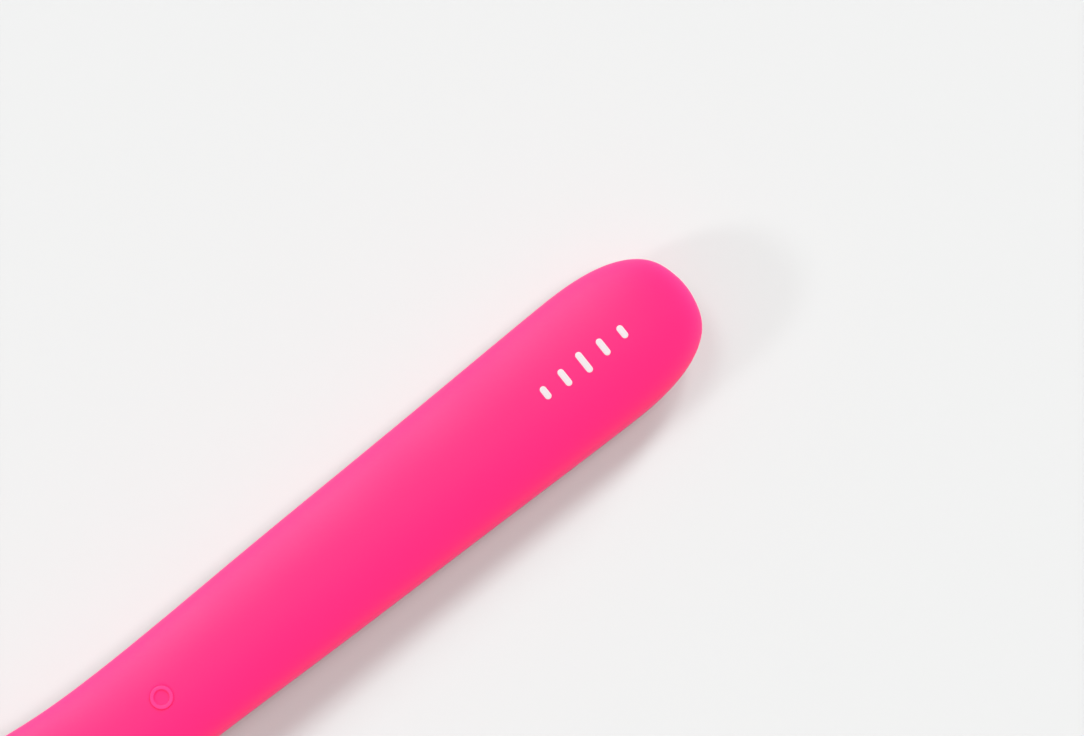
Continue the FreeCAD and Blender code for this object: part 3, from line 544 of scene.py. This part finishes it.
def build_collar():
    """Spigot inside the skin, rounded flange outside it, and the slot through both."""
    loops = [skin_loop(COLLAR_START, CHASSIS_INSET), skin_loop(BODY_LENGTH, CHASSIS_INSET)]
    loops.append(skin_loop(BODY_LENGTH, COLLAR_FLANGE_INSET))
    for a in (0, 22.5, 45, 67.5, 90):
        angle = math.radians(a)
        inset = COLLAR_FLANGE_INSET + COLLAR_EDGE * (1 - math.cos(angle))
        out = MOUTH_OUT * (COLLAR_FLANGE - COLLAR_EDGE * (1 - math.sin(angle)))
        loops.append([p + out for p in skin_loop(BODY_LENGTH, inset)])
    rim = loops[-1]
    wide = (SEAL_HALF[0] + COLLAR_LIP, SEAL_HALF[1] + COLLAR_LIP)
    mouth = slot_loop(wide, SEAL_CORNER + COLLAR_LIP, COLLAR_FLANGE)
    loops += [blended(rim, mouth, t) for t in (0.08, 0.3, 0.6, 0.92, 1.0)]
    for a in (30, 60, 90):
        angle = math.radians(a)
        grow = COLLAR_LIP * (1 - math.sin(angle))
        half = (SEAL_HALF[0] + grow, SEAL_HALF[1] + grow)
        out = COLLAR_FLANGE - COLLAR_LIP * (1 - math.cos(angle))
        loops.append(slot_loop(half, SEAL_CORNER + grow, out))
    loops.append(slot_loop(SEAL_HALF, SEAL_CORNER, -COLLAR_WALL))
    loops.append(skin_loop(BODY_LENGTH - COLLAR_WALL, CAVITY_INSET))
    loops.append(skin_loop(COLLAR_START, CAVITY_INSET))
    piece = mesh_piece("collar_ring", *loops_mesh(loops, closed=True))
    sharpen(piece, 15)
    return piece


def bar_loop(half, corner, x):
    return [ROOT @ Vector((x, y, z)) for y, z in rounded_bar(*half, corner)]


def build_seal():
    """Rubber bar in the collar's slot, with a rolled lip round the blade."""
    front, back = SEAL_X
    hole = (BLADE_HALF, BLADE_THICKNESS / 2)
    loops = [bar_loop(SEAL_HALF, SEAL_CORNER, back)]
    for a in (0, 30, 60, 90):
        angle = math.radians(a)
        inset = SEAL_EDGE * (1 - math.cos(angle))
        half = (SEAL_HALF[0] - inset, SEAL_HALF[1] - inset)
        loops.append(bar_loop(half, SEAL_CORNER - inset, front + SEAL_EDGE * (1 - math.sin(angle))))
    wide = (hole[0] + SEAL_EDGE, hole[1] + SEAL_EDGE)
    loops.append(bar_loop(wide, hole[1] + SEAL_EDGE, front))
    for a in (30, 60, 90):
        angle = math.radians(a)
        grow = SEAL_EDGE * (1 - math.sin(angle))
        half = (hole[0] + grow, hole[1] + grow)
        loops.append(bar_loop(half, hole[1] + grow, front + SEAL_EDGE * (1 - math.cos(angle))))
    loops.append(bar_loop(hole, hole[1], back))
    piece = mesh_piece("seal_lip", *loops_mesh(loops, closed=True))
    sharpen(piece, 50)
    return piece


# ---------------------------------------------------------------- blade
def blade_direction(degrees):
    angle = math.radians(degrees)
    return Vector((-math.cos(angle), 0, -math.sin(angle)))


def blade_normal(degrees):
    angle = math.radians(degrees)
    return Vector((-math.sin(angle), 0, math.cos(angle)))


def blade_bend():
    """Length of the flat stretch outside the mouth and radius of the bend that follows it."""
    half = BLADE_THICKNESS / 2
    along, up = blade_direction(BLADE_ROOT_ANGLE), blade_normal(BLADE_ROOT_ANGLE)
    edge_up = blade_normal(BLADE_EDGE_ANGLE)
    a, b = along.z, edge_up.z - up.z
    c, d = along.x, edge_up.x - up.x
    down = half * edge_up.z - MOUTH.z
    out = -TIP_X - MOUTH.x + (half - EDGE_THICKNESS) * edge_up.x
    determinant = a * d - b * c
    return (down * d - b * out) / determinant, (a * out - down * c) / determinant


BLADE_ROUND = 0.15  # soft rounding of the blade's long edges


def blade_loop(middle, up, half_width, top, bottom):
    """Section across the blade: flat faces joined by small rounded edges."""
    round_top = min(BLADE_ROUND, (top + bottom) / 2)
    points = []
    columns = 24
    for k in range(columns + 1):
        points.append(((half_width - round_top) * (1 - 2 * k / columns), top))
    for k in range(1, 4):
        angle = math.radians(90 + 90 * k / 4)
        points.append((-half_width + round_top + round_top * math.cos(angle),
                       top - round_top + round_top * math.sin(angle)))
    for k in range(4):
        angle = math.radians(180 + 90 * k / 4)
        points.append((-half_width + round_top + round_top * math.cos(angle),
                       -bottom + round_top + round_top * math.sin(angle)))
    for k in range(columns + 1):
        points.append((-(half_width - round_top) * (1 - 2 * k / columns), -bottom))
    for k in range(1, 4):
        angle = math.radians(270 + 90 * k / 4)
        points.append((half_width - round_top + round_top * math.cos(angle),
                       -bottom + round_top + round_top * math.sin(angle)))
    for k in range(4):
        angle = math.radians(90 * k / 4)
        points.append((half_width - round_top + round_top * math.cos(angle),
                       top - round_top + round_top * math.sin(angle)))
    return [middle + Vector((0, y, 0)) + up * z for y, z in points]


def corner_half(x):
    """Half width of the blade near its edge, where the corners round off in plan."""
    depth = x + TIP_X
    if depth >= BLADE_CORNER:
        return BLADE_HALF
    return BLADE_HALF - BLADE_CORNER + math.sqrt(max(0.0, BLADE_CORNER**2 - (BLADE_CORNER - depth) ** 2))


def build_blade():
    """Steel blade: tongue and root inside the head, a flat stretch, one bend, a bevelled edge."""
    half = BLADE_THICKNESS / 2
    flat, radius = blade_bend()
    up = blade_normal(BLADE_ROOT_ANGLE)
    root = MOUTH - blade_direction(BLADE_ROOT_ANGLE) * BLADE_ROOT_END
    steps = [(0.0, BLADE_TONGUE_HALF), (BLADE_ROOT_END - BLADE_TONGUE_START, BLADE_TONGUE_HALF),
             (BLADE_ROOT_END - BLADE_TONGUE_START, BLADE_ROOT_HALF),
             (BLADE_ROOT_END - BLADE_ROOT_START, BLADE_ROOT_HALF),
             (BLADE_ROOT_END - SEAL_X[1], BLADE_HALF), (BLADE_ROOT_END + flat * 0.5, BLADE_HALF)]
    loops = []
    for distance, half_width in steps:
        middle = root + blade_direction(BLADE_ROOT_ANGLE) * distance
        loops.append(blade_loop(middle, up, half_width, half, half))
    start = MOUTH + blade_direction(BLADE_ROOT_ANGLE) * flat
    centre = start - up * radius
    sweep = BLADE_EDGE_ANGLE - BLADE_ROOT_ANGLE
    bevel = math.degrees(BEVEL_LENGTH / radius)
    fractions = [k / 40 for k in range(33)]
    fractions += [0.8 + 0.2 * math.sin(math.radians(a)) for a in range(5, 91, 5)]
    for fraction in fractions:
        angle = BLADE_ROOT_ANGLE + sweep * fraction
        normal = blade_normal(angle)
        middle = centre + normal * radius
        left = BLADE_EDGE_ANGLE - angle
        top = half
        if left <= bevel:
            top = EDGE_THICKNESS - half + (BLADE_THICKNESS - EDGE_THICKNESS) * left / bevel
        upper = middle + normal * top
        loops.append(blade_loop(middle, normal, corner_half(max(upper.x, -TIP_X)), top, half))
    piece = mesh_piece("blade_plate", *loops_mesh(loops, capped=True))
    profile = [(ANCHOR_HOLE_RADIUS, -ANCHOR_CUT), (ANCHOR_HOLE_RADIUS, ANCHOR_CUT)]
    frame_at_hole = ROOT @ Matrix.Translation((ANCHOR_X, 0, 0))
    cut(piece, mesh_piece("hole_cutter", *loops_mesh(revolved(profile, frame_at_hole, 48), capped=True)))
    sharpen(piece, 30)
    return piece


# ---------------------------------------------------------------- camera, floor and light
CAMERA_DISTANCE = 0.65
CAMERA_TILT = math.radians(4.5)
CAMERA_ROLL = math.radians(38.606)
CAMERA_TARGET = (-0.03113, 0.00476, 0.009)  # from the floor under the rounded end, in metres
FOCAL_PIXELS = 3416.4
SENSOR = 36.0


def build_camera():
    """Looks almost straight down on the handle, which points to the upper right of the image."""
    data = bpy.data.cameras.new("camera")
    data.sensor_width = SENSOR
    data.lens = FOCAL_PIXELS / IMAGE_WIDTH * SENSOR
    data.clip_start = 0.01
    data.clip_end = 20.0
    camera = bpy.data.objects.new("camera", data)
    bpy.context.scene.collection.objects.link(camera)
    target = Vector((cad_bounds[1].x, 0, 0)) + Vector(CAMERA_TARGET)
    back = Vector((0, -math.sin(CAMERA_TILT), math.cos(CAMERA_TILT)))
    level_right = Vector((1, 0, 0))
    level_up = back.cross(level_right)
    right = level_right * math.cos(CAMERA_ROLL) - level_up * math.sin(CAMERA_ROLL)
    up = level_right * math.sin(CAMERA_ROLL) + level_up * math.cos(CAMERA_ROLL)
    turn = Matrix((right, up, back)).transposed().to_4x4()
    camera.matrix_world = Matrix.Translation(target + back * CAMERA_DISTANCE) @ turn
    bpy.context.scene.camera = camera


FLOOR_TONE = (0.5, 0.5, 0.5)
FLOOR_REACH = 3.0


def build_floor():
    mesh = bpy.data.meshes.new("floor")
    corners = [(x * FLOOR_REACH, y * FLOOR_REACH, 0) for x, y in ((-1, -1), (1, -1), (1, 1), (-1, 1))]
    mesh.from_pydata(corners, [], [(0, 1, 2, 3)])
    floor = bpy.data.objects.new("floor", mesh)
    bpy.context.scene.collection.objects.link(floor)
    floor.data.materials.append(material("floor_paper", FLOOR_TONE, 0.9, variation=0.002, specular=0.1))


def soft_sun(name, azimuth, elevation, spread, strength, tint=(1, 1, 1), diffuse=True, glossy=True):
    """An even light from far away. Azimuth is measured from +X towards +Y, in degrees."""
    data = bpy.data.lights.new(name, "SUN")
    data.angle = math.radians(spread)
    data.energy = strength
    data.color = tint
    light = bpy.data.objects.new(name, data)
    bpy.context.scene.collection.objects.link(light)
    a, e = math.radians(azimuth), math.radians(elevation)
    direction = Vector((math.cos(a) * math.cos(e), math.sin(a) * math.cos(e), math.sin(e)))
    light.rotation_mode = "QUATERNION"
    light.rotation_quaternion = direction.to_track_quat("Z", "Y")
    light.visible_diffuse = diffuse
    light.visible_glossy = glossy


WARM = (1.13, 0.998, 1.0)
COOL = (0.84, 1.0, 0.99)
ROOM_STRENGTH = 0.24
BACKDROP_STRENGTH = 0.88  # only what the camera sees past the floor


def build_lights():
    """Studio lights: five leave no gleam, the side light leaves one, the side card gives nothing else."""
    soft_sun("top_light", 330, 76, 16, 1.6, WARM, glossy=False)
    soft_sun("front_light", 0, 60, 16, 0.9, WARM, glossy=False)
    soft_sun("key_light", 30, 42, 12, 1.35, COOL, glossy=False)
    soft_sun("far_light", 22, 24, 12, 1.1, COOL, glossy=False)
    soft_sun("side_light", 95, 62, 24, 0.85, COOL)
    soft_sun("low_light", 164, 30, 9, 0.85, glossy=False)
    soft_sun("side_card", 95, 22, 60, 2.9, diffuse=False)
    world = bpy.data.worlds.new("studio")
    world.use_nodes = True
    nodes, links = world.node_tree.nodes, world.node_tree.links
    room = nodes["Background"]
    room.inputs["Color"].default_value = (1, 1, 1, 1)
    room.inputs["Strength"].default_value = ROOM_STRENGTH
    backdrop = nodes.new("ShaderNodeBackground")
    backdrop.inputs["Color"].default_value = (1, 1, 1, 1)
    backdrop.inputs["Strength"].default_value = BACKDROP_STRENGTH
    seen = nodes.new("ShaderNodeLightPath")
    mix = nodes.new("ShaderNodeMixShader")
    links.new(seen.outputs["Is Camera Ray"], mix.inputs[0])
    links.new(room.outputs[0], mix.inputs[1])
    links.new(backdrop.outputs[0], mix.inputs[2])
    links.new(mix.outputs[0], nodes["World Output"].inputs["Surface"])
    scene = bpy.context.scene
    scene.world = world
    scene.view_settings.view_transform = "Standard"
    scene.view_settings.look = "None"


# ---------------------------------------------------------------- materials
def material(name, color, roughness, metallic=0.0, variation=0.04, scale=60.0, grain=None, coat=0.0,
             specular=0.5, diffuse_roughness=0.0, brushed=False):
    """Moulded or finished surface: a faint cloud in colour and roughness and, where given, a fine grain."""
    made = bpy.data.materials.new(name)
    made.use_nodes = True
    nodes, links = made.node_tree.nodes, made.node_tree.links
    shader = nodes["Principled BSDF"]
    shader.inputs["Metallic"].default_value = metallic
    shader.inputs["Specular IOR Level"].default_value = specular
    shader.inputs["Coat Weight"].default_value = coat
    shader.inputs["Diffuse Roughness"].default_value = diffuse_roughness
    place = nodes.new("ShaderNodeTexCoord")
    cloud = nodes.new("ShaderNodeTexNoise")
    cloud.inputs["Scale"].default_value = scale
    cloud.inputs["Detail"].default_value = 4.0
    links.new(place.outputs["Object"], cloud.inputs["Vector"])
    tint = nodes.new("ShaderNodeMix")
    tint.data_type = "RGBA"
    tint.inputs["A"].default_value = (*[c * (1 - variation) for c in color], 1)
    tint.inputs["B"].default_value = (*[min(1.0, c * (1 + variation)) for c in color], 1)
    links.new(cloud.outputs["Fac"], tint.inputs["Factor"])
    links.new(tint.outputs["Result"], shader.inputs["Base Color"])
    matt = nodes.new("ShaderNodeMapRange")
    matt.inputs["To Min"].default_value = roughness * 0.9
    matt.inputs["To Max"].default_value = min(1.0, roughness * 1.1)
    links.new(cloud.outputs["Fac"], matt.inputs["Value"])
    links.new(matt.outputs["Result"], shader.inputs["Roughness"])
    if grain:
        grain_scale, strength, distance = grain
        texture = nodes.new("ShaderNodeTexNoise")
        texture.inputs["Scale"].default_value = grain_scale
        texture.inputs["Detail"].default_value = 3.0
        stretch = nodes.new("ShaderNodeMapping")
        stretch.inputs["Scale"].default_value = (1.0, 0.02, 1.0) if brushed else (1.0, 1.0, 1.0)
        links.new(place.outputs["Object"], stretch.inputs["Vector"])
        links.new(stretch.outputs["Vector"], texture.inputs["Vector"])
        bump = nodes.new("ShaderNodeBump")
        bump.inputs["Strength"].default_value = strength
        bump.inputs["Distance"].default_value = distance
        links.new(texture.outputs["Fac"], bump.inputs["Height"])
        links.new(bump.outputs["Normal"], shader.inputs["Normal"])
    return made


PINK = (0.88, 0.016, 0.159)


def build_materials():
    finishes = {
        "pink_silicone": material("pink_silicone", PINK, 0.6, variation=0.01, grain=(6000, 0.2, 0.00002),
                                  specular=0.4, diffuse_roughness=0.8),
        "pink_plastic": material("pink_plastic", (0.9, 0.015, 0.16), 0.28, grain=(3000, 0.1, 0.00002)),
        "grey_rubber": material("grey_rubber", (0.16, 0.16, 0.17), 0.7, grain=(4000, 0.3, 0.00005)),
        "white_plastic": material("white_plastic", (0.8, 0.8, 0.78), 0.5, grain=(2500, 0.2, 0.00005)),
        "black_plastic": material("black_plastic", (0.02, 0.02, 0.022), 0.42, grain=(3000, 0.2, 0.00004)),
        "blade_steel": material("blade_steel", (0.86, 0.87, 0.89), 0.36, metallic=0.7, variation=0.02,
                                grain=(5000, 0.35, 0.00002), brushed=True),
        "screw_steel": material("screw_steel", (0.55, 0.55, 0.57), 0.3, metallic=1.0,
                                grain=(4000, 0.2, 0.00001)),
        "board_laminate": material("board_laminate", (0.01, 0.16, 0.06), 0.3, grain=(900, 0.3, 0.00005)),
        "solder": material("solder", (0.7, 0.7, 0.71), 0.3, metallic=1.0),
        "ceramic": material("ceramic", (0.62, 0.57, 0.46), 0.55, grain=(3000, 0.3, 0.00004)),
        "ferrite": material("ferrite", (0.045, 0.045, 0.05), 0.6, grain=(2500, 0.4, 0.00006)),
        "winding_tape": material("winding_tape", (0.78, 0.5, 0.04), 0.3, grain=(800, 0.2, 0.00005)),
        "cell_foil": material("cell_foil", (0.6, 0.61, 0.63), 0.35, metallic=1.0),
        "foam": material("foam", (0.07, 0.07, 0.075), 0.95, grain=(1500, 0.8, 0.0002)),
        "red_insulation": material("red_insulation", (0.6, 0.01, 0.01), 0.35, grain=(1500, 0.1, 0.00003)),
        "black_insulation": material("black_insulation", (0.015, 0.015, 0.015), 0.35,
                                     grain=(1500, 0.1, 0.00003)),
        "light_lens": material("light_lens", (0.85, 0.9, 0.85), 0.1, coat=1.0),
        "contact_plating": material("contact_plating", (0.75, 0.58, 0.28), 0.22, metallic=1.0),
    }
    for entry in frame["record"]["subparts"]:
        node = frame["nodes"][entry["node"]]
        node.data.materials.clear()
        node.data.materials.append(finishes[entry["material_slot"]])
    return finishes


def finish_piece(piece, finish, slot, *nodes):
    piece.data.materials.clear()
    piece.data.materials.append(finish)
    if nodes:
        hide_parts(*nodes)


# ---------------------------------------------------------------- the scene
build_camera()
finishes = build_materials()
silicone = finishes["pink_silicone"]
finish_piece(build_skin(), silicone, "pink_silicone", "silicone_skin")
finish_piece(build_button(), silicone, "pink_silicone", "power_button")
ring_finish = material("pink_ring", (0.88, 0.026, 0.168), 0.6, variation=0.01, specular=0.4)
finish_piece(build_button_ring(), ring_finish, "pink_silicone")
finish_piece(build_print(), material("white_ink", (0.52, 0.465, 0.48), 0.5, specular=0.3), "white_plastic")
finish_piece(build_collar(), finishes["pink_plastic"], "pink_plastic", "head_collar")
finish_piece(build_seal(), finishes["grey_rubber"], "grey_rubber", "blade_seal")
finish_piece(build_blade(), finishes["blade_steel"], "blade_steel", "blade")
build_floor()
build_lights()
